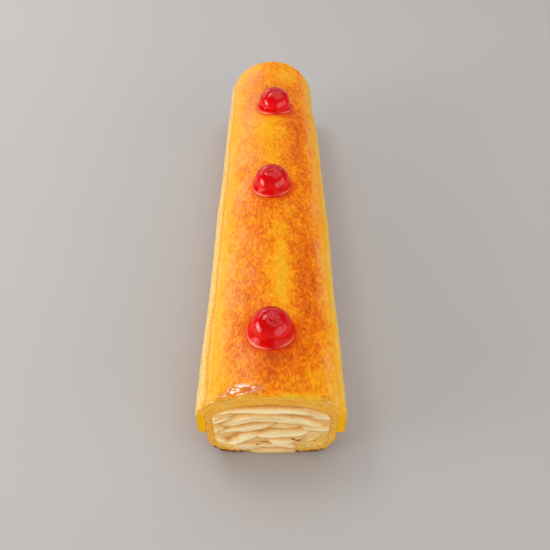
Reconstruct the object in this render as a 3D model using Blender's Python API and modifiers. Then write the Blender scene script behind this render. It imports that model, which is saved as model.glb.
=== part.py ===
"""Swiss roll with a toasted egg-yolk coat, a whipped-cream filling and three glace cherries.

Metres, +Z up. The roll lies along Y and shows its front cut at -Y. The origin is on the surface
that the roll rests on, below the middle of the roll.
"""

import math

import bmesh
import bpy
from mathutils import Vector

# ---------------------------------------------------------------- driving dimensions
ROLL_LENGTH = 0.330
SPONGE_AT_SIDE, SPONGE_AT_CROWN = 0.0050, 0.0062
COAT_AT_SIDE, COAT_AT_CROWN = 0.0042, 0.0032
GAP = 0.0003  # clearance between pieces that touch

# The outer face of the rolled sponge sheet, at its front cut and at its narrower back cut:
# side_foot is where the upright side leaves the rounded foot, side_top where it meets the arch.
FRONT_CUT = {"half_width": 0.0362, "height": 0.0582, "side_top": 0.0390, "side_foot": 0.0170, "seam": 0.0230}
BACK_CUT = {"half_width": 0.0324, "height": 0.0605, "side_top": 0.0290, "side_foot": 0.0160, "seam": 0.0230}
FLAT_SHARE = 0.60  # the share of the half width that lies flat underneath
SEAM_AT_MIDDLE = 0.010  # the sheet's long edges come closest half-way along
SWELL = 0.0004  # how far the hand-rolled sides wander in and out
STATIONS = 15  # sections along the roll
BASE_STEPS, FOOT_STEPS, SIDE_STEPS, ARCH_STEPS = 2, 5, 3, 18  # steps of a section

# Yolk coat: it ends in a square hem above the foot, and its crown rounds over at both cuts
HEM_HEIGHT, HEM_WAVE = 0.0235, 0.0006
CUT_ROUND = 0.0032
SHARE_LEFT_AT_CROWN, SHARE_LEFT_AT_HEM = 0.65, 0.90  # how much of its thickness reaches the cut
ROUND_STEPS = 3

# Cream: folds lap over one another up the cut, in rows that bend and drift across it
FOLDS = 8
FOLD_PROUD = 0.0036
CREAM_SIDE_STEPS = 24
RIM_SHARE = 0.10  # the folds fade out over this share of the cut, next to the sponge

# Glace cherries: place along the roll from the front cut, shift across it, diameter, and how far
# the stone's dimple leans towards the front and to the right, in degrees.
CHERRIES = {
    "cherry_front": {"along": 0.0415, "across": 0.0000, "diameter": 0.0218, "lean": 21, "roll": 11},
    "cherry_middle": {"along": 0.1655, "across": 0.0000, "diameter": 0.0224, "lean": 17, "roll": -1},
    "cherry_back": {"along": 0.2615, "across": 0.0018, "diameter": 0.0230, "lean": 8, "roll": 4},
}
CHERRY_RISE = 0.0030  # centre of the cherry above the coat
CHERRY_SEAT = 0.0014  # its cut face sits this deep in the coat
CHERRY_SQUASH = 0.94
DIMPLE_RADIUS, DIMPLE_DEPTH = 0.0026, 0.0016
CHERRY_RINGS, CHERRY_SEGMENTS = 10, 22
CUTTER_SIZE = 0.040

# Colour and roughness of each material
FINISHES = {
    "sponge": ((0.76, 0.36, 0.06, 1.0), 0.85),
    "cream": ((0.86, 0.70, 0.44, 1.0), 0.45),
    "yolk_coat": ((0.84, 0.25, 0.02, 1.0), 0.30),
    "cherry": ((0.62, 0.004, 0.003, 1.0), 0.12),
}


def clear_scene():
    """Take every object out of the open scene."""
    for old in list(bpy.data.objects):
        bpy.data.objects.remove(old, do_unlink=True)


def new_collection(name, shown=True):
    """A collection in the scene. The one for cutters isn't rendered."""
    group = bpy.data.collections.new(name)
    bpy.context.scene.collection.children.link(group)
    group.hide_render = not shown
    return group


def finish(name):
    """The Principled material with the colour and roughness listed for it."""
    made = bpy.data.materials.get(name)
    if made is None:
        made = bpy.data.materials.new(name)
        made.use_nodes = True
        colour, roughness = FINISHES[name]
        shader = made.node_tree.nodes["Principled BSDF"]
        shader.inputs["Base Color"].default_value = colour
        shader.inputs["Roughness"].default_value = roughness
        shader.inputs["Metallic"].default_value = 0.0
        made.diffuse_color = colour
    return made


def mix(a, b, share):
    """The value a share of the way from a to b."""
    return a + (b - a) * share


def station_y(share):
    """Place along the roll of the section at this share of its length."""
    return ROLL_LENGTH * (share - 0.5)


# ---------------------------------------------------------------- the section
def section_sizes(share):
    """Sizes of the sheet's outer face, a share of the way from the front cut to the back cut."""
    sizes = {key: mix(FRONT_CUT[key], BACK_CUT[key], share) for key in FRONT_CUT}
    middle = 1 - (2 * share - 1) ** 2  # 0 at both cuts, 1 half-way
    sizes["seam"] = mix(sizes["seam"], SEAM_AT_MIDDLE, middle)
    sizes["half_width"] += SWELL * middle * math.sin(5.5 * math.pi * share)
    sizes["height"] += SWELL * math.sin(3.6 * math.pi * share + 0.5)
    return sizes


def ellipse_arc(centre, reach, rise, turns, steps, inset, more_on_top=0.0):
    """Points on an ellipse between two angles, moved in by inset along its own normals."""
    points = []
    for i in range(steps + 1):
        turn = mix(turns[0], turns[1], i / steps)
        normal = Vector((math.cos(turn) / reach, math.sin(turn) / rise)).normalized()
        inward = inset + more_on_top * math.sin(turn)
        x = centre[0] + reach * math.cos(turn) - inward * normal.x
        points.append((x, centre[1] + rise * math.sin(turn) - inward * normal.y))
    return points


def foot_curve(sizes, inset, steps):
    """Right foot of the section, from the flat underneath up to the side."""
    flat = sizes["half_width"] * FLAT_SHARE
    reach, rise = sizes["half_width"] - flat, sizes["side_foot"]
    return ellipse_arc((flat, rise), reach, rise, (-math.pi / 2, 0.0), steps, inset)


def arch_curve(sizes, inset, more_on_top=0.0):
    """The arch of the section, from the right shoulder over the crown to the left one."""
    centre, reach, rise = (0.0, sizes["side_top"]), sizes["half_width"], sizes["height"] - sizes["side_top"]
    return ellipse_arc(centre, reach, rise, (0.0, math.pi), ARCH_STEPS, inset, more_on_top)


def side_line(sizes, inset, lowest, steps):
    """Upright right side of the section from the height given up to the arch, ends left out."""
    width = sizes["half_width"] - inset
    return [(width, mix(lowest, sizes["side_top"], i / steps)) for i in range(1, steps)]


def mirrored(points):
    """The same points on the left side, in the opposite order."""
    return [(-x, z) for x, z in reversed(points)]


# ---------------------------------------------------------------- meshes
def skin(bm, rows, closed=False):
    """Quads between rows of vertices that all have the same count."""
    for row, following in zip(rows, rows[1:]):
        last = len(row) if closed else len(row) - 1
        for i in range(last):
            j = (i + 1) % len(row)
            bm.faces.new((row[i], following[i], following[j], row[j]))


def make_object(name, bm, group, finish_name):
    """Turn the bmesh into an object in the collection."""
    mesh = bpy.data.meshes.new(name)
    bm.to_mesh(mesh)
    bm.free()
    mesh.materials.append(finish(finish_name))
    made = bpy.data.objects.new(name, mesh)
    group.objects.link(made)
    return made


def lofted(name, outline, shares, group, finish_name):
    """An open surface through the outline's sections at the shares of the roll's length."""
    bm = bmesh.new()
    rows = []
    for share in shares:
        rows.append([bm.verts.new((x, station_y(share), z)) for x, z in outline(share)])
    skin(bm, rows)
    return make_object(name, bm, group, finish_name)


def smooth(made, angle=40):
    """Shade the round faces smooth and keep the cut edges sharp."""
    made.data.shade_smooth()
    made.data.set_sharp_from_angle(angle=math.radians(angle))


def even_shares():
    """The sections that every layer of the roll has."""
    return [step / (STATIONS - 1) for step in range(STATIONS)]


# ---------------------------------------------------------------- sponge
def sheet_outline(share):
    """Outer face of the sponge sheet, from one side of the seam round to the other."""
    sizes = section_sizes(share)
    seam, flat = sizes["seam"] / 2, sizes["half_width"] * FLAT_SHARE
    right = [(mix(seam, flat, i / BASE_STEPS), 0.0) for i in range(BASE_STEPS)]
    right += foot_curve(sizes, 0.0, FOOT_STEPS)
    right += side_line(sizes, 0.0, sizes["side_foot"], SIDE_STEPS)
    return right + arch_curve(sizes, 0.0) + mirrored(right)


def sponge_weight(sizes, z):
    """Thickness of the sheet at a height, as a share of what it is at the crown."""
    up_arch = max(0.0, (z - sizes["side_top"]) / (sizes["height"] - sizes["side_top"]))
    return mix(SPONGE_AT_SIDE, SPONGE_AT_CROWN, up_arch) / SPONGE_AT_CROWN


def sponge_sheet(group):
    """The sheet rolled round the filling, open along the seam underneath."""
    shares = even_shares()
    made = lofted("sponge", sheet_outline, shares, group, "sponge")
    weights = made.vertex_groups.new(name="thickness")
    across = len(sheet_outline(0.0))
    for vertex in made.data.vertices:
        sizes = section_sizes(shares[vertex.index // across])
        weights.add([vertex.index], sponge_weight(sizes, vertex.co.z), "REPLACE")
    wall = made.modifiers.new("wall", "SOLIDIFY")
    wall.thickness = SPONGE_AT_CROWN
    wall.offset = -1
    wall.use_even_offset = True
    wall.vertex_group = weights.name
    return made


# ---------------------------------------------------------------- yolk coat
def coat_shares():
    """The even sections, with closer ones where the coat rounds over at the cuts."""
    reach = CUT_ROUND / ROLL_LENGTH
    near = [reach * (1 - math.cos(0.5 * math.pi * i / ROUND_STEPS)) for i in range(1, ROUND_STEPS + 1)]
    return sorted(even_shares() + near + [1 - share for share in near])


def coat_outline(share):
    """Inner face of the coat, from hem to hem over the crown."""
    sizes = section_sizes(share)
    hem = HEM_HEIGHT + HEM_WAVE * math.sin(9 * math.pi * share)
    right = [(sizes["half_width"] + GAP, hem)] + side_line(sizes, -GAP, hem, SIDE_STEPS)
    return right + arch_curve(sizes, -GAP) + mirrored(right)


def coat_weight(share, z):
    """Thickness of the coat at a height, as a share of what it is at the side."""
    sizes = section_sizes(share)
    crown = max(0.0, (z - sizes["side_top"]) / (sizes["height"] - sizes["side_top"]))
    full = mix(1.0, COAT_AT_CROWN / COAT_AT_SIDE, crown)
    from_cut = min(share, 1 - share) * ROLL_LENGTH / CUT_ROUND
    if from_cut >= 1:
        return full
    at_cut = mix(SHARE_LEFT_AT_HEM, SHARE_LEFT_AT_CROWN, crown)
    return full * mix(at_cut, 1.0, math.sqrt(1 - (1 - from_cut) ** 2))


def yolk_coat(group):
    """The coat over the top and sides, thickened outwards and rounded over at the cuts."""
    shares = coat_shares()
    made = lofted("yolk_coat", coat_outline, shares, group, "yolk_coat")
    weights = made.vertex_groups.new(name="thickness")
    across = len(coat_outline(0.0))
    for vertex in made.data.vertices:
        share = shares[vertex.index // across]
        weights.add([vertex.index], coat_weight(share, vertex.co.z), "REPLACE")
    wall = made.modifiers.new("wall", "SOLIDIFY")
    wall.thickness = COAT_AT_SIDE
    wall.offset = 1
    wall.use_even_offset = True
    wall.vertex_group = weights.name
    return made


# ---------------------------------------------------------------- cream
def cream_sides(share):
    """Bottom, right, top and left edges of the filling's section, each read left or upwards."""
    sizes = section_sizes(share)
    inset = SPONGE_AT_SIDE + GAP
    flat, tongue = sizes["half_width"] * FLAT_SHARE, sizes["seam"] / 2 - GAP
    beside, inside = ARCH_STEPS // 6, ARCH_STEPS - 2 * (ARCH_STEPS // 6) - 2
    half = [(mix(flat, tongue, i / beside), inset) for i in range(beside + 1)]
    bottom = half + [(mix(tongue, -tongue, i / inside), GAP) for i in range(inside + 1)] + mirrored(half)
    foot_steps = CREAM_SIDE_STEPS // 2
    right = foot_curve(sizes, inset, foot_steps)
    right += side_line(sizes, inset, sizes["side_foot"], CREAM_SIDE_STEPS - foot_steps)
    top = arch_curve(sizes, inset, SPONGE_AT_CROWN - SPONGE_AT_SIDE)
    right.append(top[0])
    return bottom, right, top, [(-x, z) for x, z in right]


def fold_relief(across, up):
    """How far the cream stands out at shares across and up the cut: rows of round folds."""
    drift = 0.50 * math.sin(3.4 * across + 0.8) + 0.28 * math.sin(8.3 * across + 2.6 * up)
    row = FOLDS * up + drift + 0.14 * math.sin(15.0 * across - 5.0 * up)
    from_crest = 2 * (row - math.floor(row)) - 1
    strength = 0.75 + 0.25 * math.sin(5.1 * across + 1.7 * math.floor(row))
    return FOLD_PROUD * strength * (0.25 + 0.75 * math.sqrt(1 - from_crest * from_crest))


def cream_cut(bm, share, sides, edges, outward):
    """The grid of one cut, blended between its four edges, with the folds pushed outwards."""
    bottom, right, top, left = [[Vector(point) for point in side] for side in sides]
    across, up = len(bottom) - 1, len(right) - 1
    sizes = section_sizes(share)
    grid = [edges[0]]
    for row in range(1, up):
        v = row / up
        line = [edges[1][row]]
        for column in range(1, across):
            u = column / across
            ruled_up = bottom[column].lerp(top[column], v)
            ruled_across = right[row].lerp(left[row], u)
            corners = bottom[0].lerp(bottom[-1], u).lerp(top[0].lerp(top[-1], u), v)
            x, z = ruled_up + ruled_across - corners
            rim = min(1.0, min(u, 1 - u, v, 1 - v) / RIM_SHARE)
            proud = rim * fold_relief(0.5 + 0.5 * x / sizes["half_width"], z / sizes["height"])
            line.append(bm.verts.new((x, station_y(share) + outward * proud, z)))
        line.append(edges[3][row])
        grid.append(line)
    grid.append(edges[2])
    skin(bm, grid if outward < 0 else grid[::-1])


def cream_filling(group):
    """The filling: a loft that fits inside the sheet, with folded cream at both cuts."""
    bm = bmesh.new()
    loops = []
    for share in even_shares():
        bottom, right, top, left = cream_sides(share)
        y = station_y(share)
        edges = [[bm.verts.new((x, y, z)) for x, z in bottom]]
        edges.append([edges[0][0]] + [bm.verts.new((x, y, z)) for x, z in right[1:]])
        edges.append([edges[1][-1]] + [bm.verts.new((x, y, z)) for x, z in top[1:]])
        edges.append([edges[0][-1]] + [bm.verts.new((x, y, z)) for x, z in left[1:-1]] + [edges[2][-1]])
        loops.append(edges[1][:-1] + edges[2][:-1] + edges[3][:0:-1] + edges[0][:0:-1])
        if share in (0, 1):
            cream_cut(bm, share, (bottom, right, top, left), edges, -1 if share == 0 else 1)
    skin(bm, loops, closed=True)
    return make_object("cream", bm, group, "cream")


# ---------------------------------------------------------------- cherries
def cherry_profile(radius):
    """Half outline of a stoned cherry, from the bottom of its dimple down to its foot."""
    rim = math.asin(DIMPLE_RADIUS / radius)
    floor = radius * math.cos(rim) - DIMPLE_DEPTH
    points = [(0.0, floor), (DIMPLE_RADIUS * 0.55, floor + DIMPLE_DEPTH * 0.25)]
    for i in range(CHERRY_RINGS + 1):
        turn = mix(rim, math.pi, i / CHERRY_RINGS)
        points.append((radius * math.sin(turn) if i < CHERRY_RINGS else 0.0, radius * math.cos(turn)))
    return [(x, z * CHERRY_SQUASH) for x, z in points]


def turned(name, profile, group):
    """A profile in the XZ plane turned about Z by a Screw modifier."""
    bm = bmesh.new()
    line = [bm.verts.new((x, 0.0, z)) for x, z in profile]
    for upper, lower in zip(line, line[1:]):
        bm.edges.new((upper, lower))
    made = make_object(name, bm, group, "cherry")
    screw = made.modifiers.new("turn", "SCREW")
    screw.steps = CHERRY_SEGMENTS
    screw.render_steps = CHERRY_SEGMENTS
    screw.use_merge_vertices = True
    screw.merge_threshold = 0.00005
    return made


def hide_cutter(cutter):
    """Cutters are guides: they show as wire and never render."""
    cutter.hide_render = True
    cutter.display_type = "WIRE"


def cut(target, cutter):
    """Take the cutter's shape out of the target."""
    boolean = target.modifiers.new("cut_" + cutter.name, "BOOLEAN")
    boolean.operation = "DIFFERENCE"
    boolean.solver = "EXACT"
    boolean.object = cutter


def foot_cutter(name, x, y, level, group):
    """A block whose upper face is at the level given, to cut a cherry's foot flat."""
    bpy.ops.mesh.primitive_cube_add(size=CUTTER_SIZE, location=(x, y, level - CUTTER_SIZE / 2))
    block = bpy.context.active_object
    block.name = name
    for old in list(block.users_collection):
        old.objects.unlink(block)
    group.objects.link(block)
    hide_cutter(block)
    return block


def cherry(name, plan, grow, group, cutters):
    """A leaning cherry with its foot cut flat, grown all round where it is a seat's cutter."""
    share = plan["along"] / ROLL_LENGTH
    crown = section_sizes(share)["height"] + GAP + COAT_AT_CROWN
    made = turned(name, cherry_profile(plan["diameter"] / 2 + grow), group)
    made.location = (plan["across"], station_y(share), crown + CHERRY_RISE)
    made.rotation_euler = (math.radians(plan["lean"]), math.radians(plan["roll"]), 0.0)
    level = crown - CHERRY_SEAT - grow
    cut(made, foot_cutter(name + "_foot", plan["across"], station_y(share), level, cutters))
    return made


def build():
    """Model every piece of the roll."""
    clear_scene()
    roll = new_collection("swiss_roll")
    cutters = new_collection("cutters", shown=False)
    coat = yolk_coat(roll)
    pieces = [sponge_sheet(roll), cream_filling(roll), coat]
    for name, plan in CHERRIES.items():
        pieces.append(cherry(name, plan, 0.0, roll, cutters))
        seat = cherry(name + "_seat", plan, GAP, cutters, cutters)
        hide_cutter(seat)
        cut(coat, seat)
    for made in pieces:
        smooth(made)


build()
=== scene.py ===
import math

import bpy
import mathutils
import numpy as np
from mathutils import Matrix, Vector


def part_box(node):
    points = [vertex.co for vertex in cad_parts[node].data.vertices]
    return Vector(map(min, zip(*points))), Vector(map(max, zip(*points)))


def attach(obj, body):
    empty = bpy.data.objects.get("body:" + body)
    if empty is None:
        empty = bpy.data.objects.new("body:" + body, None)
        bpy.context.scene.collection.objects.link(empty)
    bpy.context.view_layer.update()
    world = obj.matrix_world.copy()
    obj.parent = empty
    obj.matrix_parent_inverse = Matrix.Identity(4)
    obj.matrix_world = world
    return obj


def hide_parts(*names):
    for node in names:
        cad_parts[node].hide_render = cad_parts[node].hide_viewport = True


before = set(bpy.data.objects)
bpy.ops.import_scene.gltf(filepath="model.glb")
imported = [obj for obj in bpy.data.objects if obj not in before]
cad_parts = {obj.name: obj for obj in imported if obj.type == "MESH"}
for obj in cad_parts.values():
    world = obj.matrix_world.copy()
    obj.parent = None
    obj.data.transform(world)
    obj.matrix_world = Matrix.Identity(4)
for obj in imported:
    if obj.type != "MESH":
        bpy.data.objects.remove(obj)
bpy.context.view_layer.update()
millimetre = 0.001
print("frame loaded")

roll = {
    # the section's sizes at the front cut and at the back cut
    "halfWidth": (0.0362, 0.0324),
    "height": (0.0582, 0.0605),
    "sideTop": (0.0390, 0.0290),
    "sideFoot": (0.0170, 0.0160),
    "seamWidth": 0.0230,
    "seamAtMiddle": 0.0100,
    "flatShare": 0.60,
    "swell": 0.0004,
    "gap": 0.0003,
    "evenAt": 0.3,          # share of the length where points are evenly spaced round the section
    "pressedFrom": 0.71,    # share of the length where the right side starts to narrow
    "pressedTo": 0.92,
    "pressed": 0.066,
    "cutWobble": ((0.00035, 0.009, 1, 61), (0.00012, 0.0016, 1, 62)),    # depth, size, layers, seed
}
spongeLow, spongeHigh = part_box("sponge")
rollLength = round(spongeHigh[1] - spongeLow[1], 3)


def mix(a, b, share):
    return a + (b - a) * share


def smoothStep(low, high, value):
    # 0 below low, 1 above high, and an S curve between them
    share = np.clip((value - low) / (high - low), 0, 1)
    return share * share * (3 - 2 * share)


def quarterRound(share):
    # 0 at 0 and 1 from 1 on, along a quarter circle
    return np.sqrt(1 - (1 - np.clip(share, 0, 1)) ** 2)


def latticeValue(cell, seed):
    # a repeatable number from 0 to 1 for each whole cell: the fraction of a large sine
    wave = np.sin(cell[..., 0] * 127.1 + cell[..., 1] * 311.7 + cell[..., 2] * 74.7 + seed * 53.3)
    return np.modf(np.abs(wave) * 43758.5453)[0]


def cellNoise(points, size, seed):
    # smooth noise from -1 to 1: the eight corners of each cell, blended along x, y and z
    place = points / np.asarray(size)
    corner = np.floor(place)
    part = place - corner
    part = part * part * (3 - 2 * part)
    total = 0
    for step in np.ndindex(2, 2, 2):
        share = np.prod(np.where(np.array(step) == 1, part, 1 - part), axis=-1)
        total += share * latticeValue(corner + step, seed)
    return total * 2 - 1


def noiseSum(points, *plans, shift=0):
    # the sum of some noises, each given as depth, size, layers and seed. Each further layer of a
    # noise is half as deep and half as large as the one before
    total = 0
    for depth, size, layers, seed in plans:
        for layer in range(layers):
            noise = cellNoise(points, np.asarray(size) / 2 ** layer, seed + shift + layer)
            total += depth / 2 ** layer * noise
    return total


def hillsOnly(points, plan):
    # the part of a noise above 0, up to its depth
    return np.clip(noiseSum(points, plan), 0, plan[0])


def bellSum(value, bells, widthShare=1.0):
    # a sum of bell curves, each given as its middle, reach and level: the level times e to the minus
    # square of the distance from the middle, measured in reaches
    total = 0
    for middle, reach, level in bells:
        total += level * np.exp(-((value - middle) / (reach * widthShare)) ** 2)
    return total


def patchSum(a, b, patches):
    # the same in two directions, with middles and reaches in millimetres
    total = 0
    for middleA, middleB, reachA, reachB, level in patches:
        away = ((a / millimetre - middleA) / reachA) ** 2 + ((b / millimetre - middleB) / reachB) ** 2
        total += level * np.exp(-away)
    return total


def sectionSizes(share):
    # straight from the front cut to the back cut, with a slow swell of the sides and the crown
    sizes = {key: mix(*roll[key], share) for key in ("halfWidth", "height", "sideTop", "sideFoot")}
    middle = 1 - (2 * share - 1) ** 2
    sizes["seam"] = mix(roll["seamWidth"], roll["seamAtMiddle"], middle) / 2
    sizes["halfWidth"] = sizes["halfWidth"] + roll["swell"] * middle * np.sin(5.5 * math.pi * share)
    sizes["height"] = sizes["height"] + roll["swell"] * np.sin(3.6 * math.pi * share + 0.5)
    return sizes


def rollPoint(path, share, outward):
    # path runs 0 to 8 round the sheet: the flat base, the foot's quarter ellipse, the upright side
    # and the quarter arch on the right, then the same four on the left. The point is moved
    # outward along the section's own normal.
    sizes = sectionSizes(share)
    along = np.minimum(path, 8 - path)
    side = np.where(path <= 4, 1.0, -1.0)
    base, upright = np.clip(along, 0, 1), np.clip(along - 2, 0, 1)
    foot, arch = np.clip(along - 1, 0, 1) * math.pi / 2, np.clip(along - 3, 0, 1) * math.pi / 2
    flat = sizes["halfWidth"] * roll["flatShare"]
    reach, rise = sizes["halfWidth"] - flat, sizes["height"] - sizes["sideTop"]
    x = mix(sizes["seam"], flat, base) + reach * np.sin(foot) - sizes["halfWidth"] * (1 - np.cos(arch))
    z = sizes["sideFoot"] * (1 - np.cos(foot)) + (sizes["sideTop"] - sizes["sideFoot"]) * upright
    z = z + rise * np.sin(arch)
    normalX = np.where(along < 3, np.sin(foot) / reach, np.cos(arch) / sizes["halfWidth"])
    normalZ = np.where(along < 3, -np.cos(foot) / sizes["sideFoot"], np.sin(arch) / rise)
    length = np.hypot(normalX, normalZ)
    x = side * (x + outward * normalX / length)
    z = z + outward * normalZ / length
    return np.stack(np.broadcast_arrays(x, rollLength * (share - 0.5), z), axis=-1)


def pressFarEnd(points):
    # the right side is pressed in towards the back cut: x times one less an S curve of y
    share = points[:, 1] / rollLength + 0.5
    press = roll["pressed"] * smoothStep(roll["pressedFrom"], roll["pressedTo"], share)
    points[:, 0] *= 1 - press * smoothStep(0.0, 0.02, points[:, 0])
    return points


def evenPath(count, start, stop):
    # path values that are evenly spaced by length round the section
    fine = np.linspace(start, stop, 2001)
    points = rollPoint(fine, roll["evenAt"], 0.0)
    length = np.concatenate(([0], np.cumsum(np.linalg.norm(np.diff(points, axis=0), axis=1))))
    return np.interp(np.linspace(0, length[-1], count), length, fine)


def sharesWithFineEnds(count, fineSteps):
    # shares of the roll's length: even ones, and the listed distances from both cuts
    near = np.asarray(fineSteps) / rollLength
    even = np.linspace(near[-1] * 1.2, 1 - near[-1] * 1.2, count)
    return np.concatenate((near, even, 1 - near[::-1]))


def fromCuts(share):
    # distance from the nearer cut
    return np.minimum(share, 1 - share) * rollLength


def fromFront(points):
    # distance from the front cut
    return points[..., 1] + rollLength / 2


def cutWobble(points):
    # how far a knife's cut strays from flat, the same for the coat, the sponge and the cream's rim
    return noiseSum(points * (1, 0, 1), *roll["cutWobble"])


def moveCuts(block, wobble):
    # the block's first row along the roll moves out of the front cut, the last out of the back cut
    block[:, 0, :, 1] -= wobble[:, 0]
    block[:, -1, :, 1] += wobble[:, -1]


def gridQuads(index):
    # the four corners of each cell of a grid of vertex numbers
    return np.stack((index[:-1, :-1], index[1:, :-1], index[1:, 1:], index[:-1, 1:]), axis=-1).reshape(-1, 4)


def blockSkin(block, masks):
    # the six sides of a block of points as one closed mesh: its points, faces and masks
    index = np.arange(block[..., 0].size).reshape(block.shape[:3])
    sides = []
    for axis in range(3):
        first, last = gridQuads(index.take(0, axis)), gridQuads(index.take(-1, axis))
        sides += [first, last[:, ::-1]] if axis == 1 else [first[:, ::-1], last]
    used, compact = np.unique(np.concatenate(sides), return_inverse=True)
    quads = compact.reshape(-1, 4)
    points = block.reshape(-1, 3)[used]
    a, b, c = points[quads[:, 0]], points[quads[:, 1]], points[quads[:, 2]]
    if np.einsum("ij,ij->i", a, np.cross(b, c)).sum() < 0:
        quads = quads[:, ::-1]
    masks = {label: np.broadcast_to(mask, index.shape).reshape(-1)[used] for label, mask in masks.items()}
    return pressFarEnd(points), (quads,), masks


def addObject(name, data):
    thing = bpy.data.objects.new(name, data)
    bpy.context.scene.collection.objects.link(thing)
    return thing


def makePiece(name, material, points, faceSets, masks):
    # one mesh object at the origin, smooth, with a point attribute for each mask
    mesh = bpy.data.meshes.new(name)
    points = points.reshape(-1, 3)
    faces = [face for faceSet in faceSets for face in faceSet.tolist()]
    mesh.from_pydata(points.tolist(), [], faces)
    mesh.polygons.foreach_set("use_smooth", np.ones(len(mesh.polygons), dtype=bool))
    for label, values in masks.items():
        layer = mesh.attributes.new(label, "FLOAT", "POINT")
        layer.data.foreach_set("value", np.ravel(values).astype(np.float32))
    mesh.materials.append(material)
    mesh.update()
    print(f"{name}: {len(points)} points, {len(faces)} faces")
    return addObject(name, mesh)


def fitIn(piece, node):
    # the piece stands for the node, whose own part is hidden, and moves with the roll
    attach(piece, "root")
    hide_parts(node)


def paint(red, green, blue):
    # a display colour, 0 to 255, as the linear value that a shader takes
    shares = [value / 255 for value in (red, green, blue)]
    linear = [share / 12.92 if share <= 0.04045 else ((share + 0.055) / 1.055) ** 2.4 for share in shares]
    return (*linear, 1.0)


def paints(**colours):
    # a dictionary of such colours by name
    return {name: paint(*colour) for name, colour in colours.items()}


def feed(tree, node, inputs):
    # a link for an input that is given a socket, and a value for the others. An input is known by
    # its label, with _ for a space, or by its number, as i0
    for key, value in inputs.items():
        socket = node.inputs[int(key[1:]) if key[1:].isdigit() else key.replace("_", " ")]
        if isinstance(value, bpy.types.NodeSocket):
            tree.links.new(value, socket)
        else:
            socket.default_value = value


def addNode(tree, kind, settings=None, **inputs):
    node = tree.nodes.new(kind)
    for key, value in (settings or {}).items():
        setattr(node, key, value)
    feed(tree, node, inputs)
    return node


def calculate(tree, operation, a, b, clamp=False):
    node = addNode(tree, "ShaderNodeMath", {"operation": operation, "use_clamp": clamp}, i0=a, i1=b)
    return node.outputs[0]


def times(tree, a, b):
    return calculate(tree, "MULTIPLY", a, b)


def blendColour(tree, share, a, b):
    return addNode(tree, "ShaderNodeMix", {"data_type": "RGBA"}, i0=share, i6=a, i7=b).outputs[2]


def remap(tree, value, fromLow, fromHigh, toLow=0.0, toHigh=1.0):
    node = addNode(tree, "ShaderNodeMapRange", i0=value, i1=fromLow, i2=fromHigh, i3=toLow, i4=toHigh)
    return node.outputs[0]


def noiseRange(tree, noise, low, high):
    # nearly all of a noise lies between 0.3 and 0.7: that range becomes low to high
    return remap(tree, noise, 0.3, 0.7, low, high)


def colourRamp(tree, share, colours, **places):
    # a ramp through named colours, each at its place, from left to right
    node = addNode(tree, "ShaderNodeValToRGB", Fac=share)
    ramp = node.color_ramp
    while len(ramp.elements) < len(places):
        ramp.elements.new(0.5)
    for element, (name, place) in zip(ramp.elements, places.items()):
        element.position = place
        element.color = colours[name]
    return node.outputs["Color"]


def readMask(tree, label):
    return addNode(tree, "ShaderNodeAttribute", {"attribute_name": label}).outputs["Fac"]


def bumpFrom(tree, height, strength, distance, **under):
    # a bump, over another one's Normal where that is given
    given = {"Height": height, "Strength": strength, "Distance": distance, **under}
    return addNode(tree, "ShaderNodeBump", **given).outputs[0]


def newMaterial(name):
    material = bpy.data.materials.new(name)
    material.use_nodes = True
    return material, material.node_tree


def feedShader(material, **inputs):
    feed(material.node_tree, material.node_tree.nodes["Principled BSDF"], inputs)
    return material


def newGroup(name, inputs, outputs):
    # a shader group with named inputs and outputs, all of them values
    group = bpy.data.node_groups.new(name, "ShaderNodeTree")
    for side, labels in (("INPUT", inputs), ("OUTPUT", outputs)):
        for label in labels:
            group.interface.new_socket(name=label, in_out=side, socket_type="NodeSocketFloat")
    return group, group.nodes.new("NodeGroupInput"), group.nodes.new("NodeGroupOutput")


def useGroup(tree, group, **values):
    return addNode(tree, "ShaderNodeGroup", {"node_tree": group}, **values)


def stretchedPlace(group, given):
    # the object's own coordinates, with the one along the roll multiplied by the group's AlongShare
    place = addNode(group, "ShaderNodeTexCoord").outputs["Object"]
    factor = addNode(group, "ShaderNodeCombineXYZ", X=1.0, Y=given.outputs["AlongShare"], Z=1.0).outputs[0]
    return addNode(group, "ShaderNodeVectorMath", {"operation": "MULTIPLY"}, i0=place, i1=factor).outputs[0]


def makeMottleGroup():
    # blotches from two noises, a coarse one and a fine one, on the object's own coordinates
    group, given, out = newGroup("mottle", ("Coarse", "Fine", "FineShare", "AlongShare"), ("Mask",))
    place = stretchedPlace(group, given)
    coarse = addNode(group, "ShaderNodeTexNoise", Vector=place, Scale=given.outputs["Coarse"], Detail=3.0)
    fine = addNode(group, "ShaderNodeTexNoise", Vector=place, Scale=given.outputs["Fine"], Detail=2.0)
    share = given.outputs["FineShare"]
    both = addNode(group, "ShaderNodeMix", i0=share, i2=coarse.outputs[0], i3=fine.outputs[0])
    group.links.new(both.outputs[0], out.inputs["Mask"])
    return group


def makePoreGroup():
    # small pits: 0 at the middle of a pore and 1 between pores, with the pores' edges broken up
    group, given, out = newGroup("pores", ("Scale", "Spread"), ("Height",))
    place = addNode(group, "ShaderNodeTexCoord").outputs["Object"]
    cells = addNode(group, "ShaderNodeTexVoronoi", Vector=place, Scale=given.outputs["Scale"])
    grain = addNode(group, "ShaderNodeTexNoise", Vector=place, Scale=given.outputs["Scale"], Detail=3.0)
    edge = times(group, grain.outputs["Fac"], given.outputs["Spread"])
    depth = calculate(group, "SUBTRACT", cells.outputs["Distance"], edge)
    group.links.new(remap(group, depth, 0.0, 0.45), out.inputs["Height"])
    return group


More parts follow.
